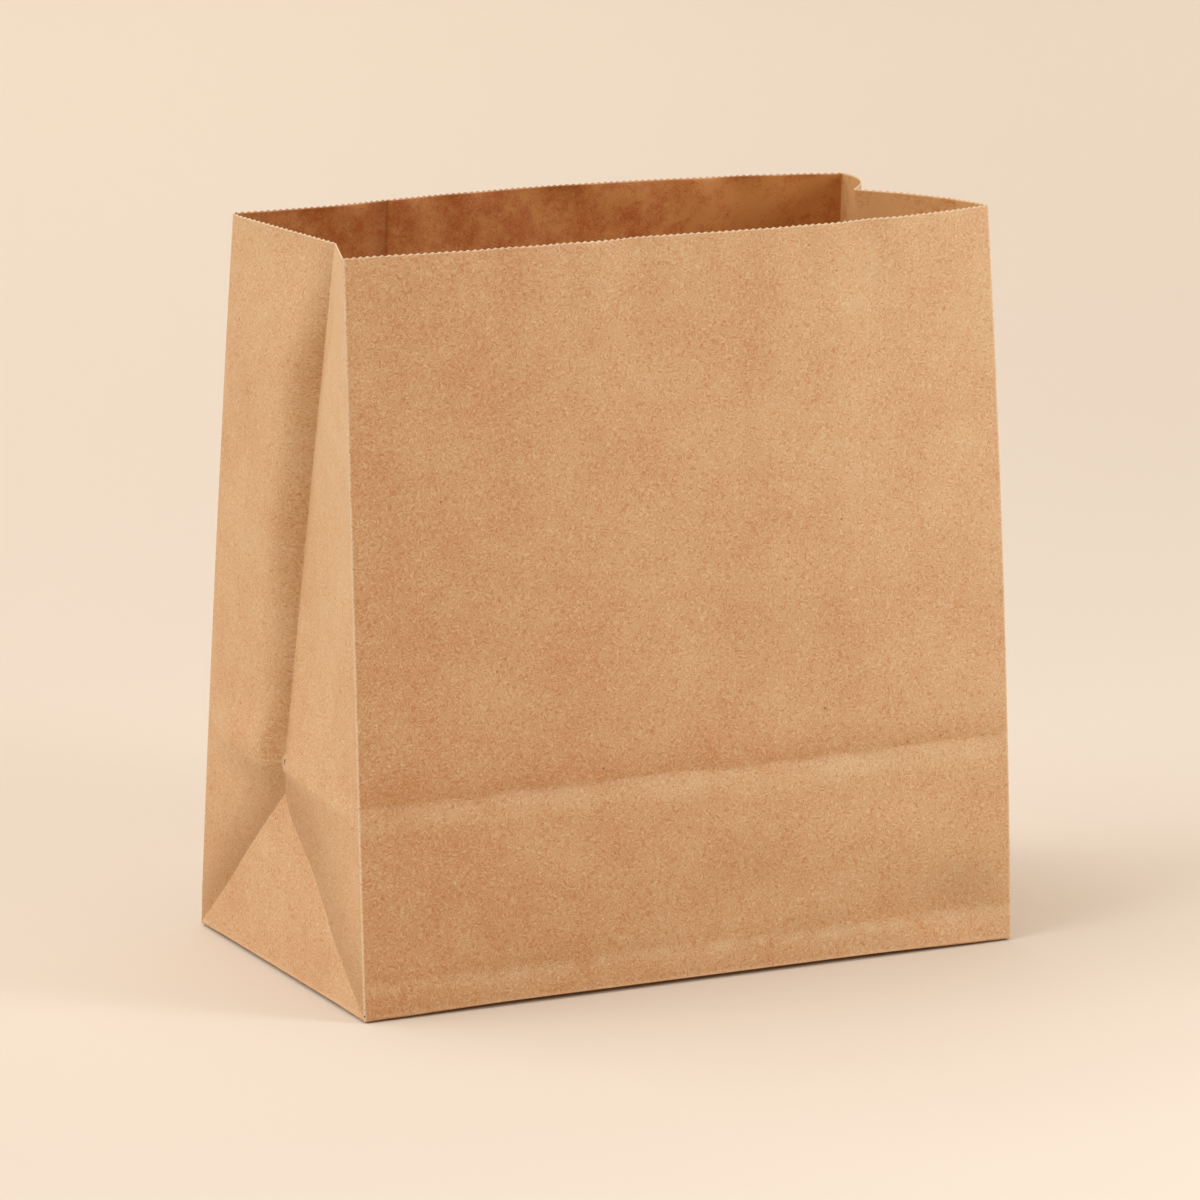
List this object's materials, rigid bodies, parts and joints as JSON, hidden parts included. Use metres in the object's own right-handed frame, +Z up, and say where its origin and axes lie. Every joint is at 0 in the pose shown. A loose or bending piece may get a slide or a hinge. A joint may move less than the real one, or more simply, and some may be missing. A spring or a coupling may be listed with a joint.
{
  "type": "paper bag",
  "caption": "Open, free-standing brown kraft paper bag with gusseted sides, a folded block bottom and a saw-cut rim.",
  "frame": {"origin": "middle of the base, on the surface that the bag stands on", "axes": "+X along the wide panels, to the right seen from the front; +Y from the front panel to the back panel; +Z up"},
  "size_m": [0.3089, 0.179, 0.3178],
  "materials": {
    "kraft_paper": "uncoated brown kraft, matt"
  },
  "bodies": {
    "root": {"paper_bag": "kraft_paper"}
  },
  "joints": []
}
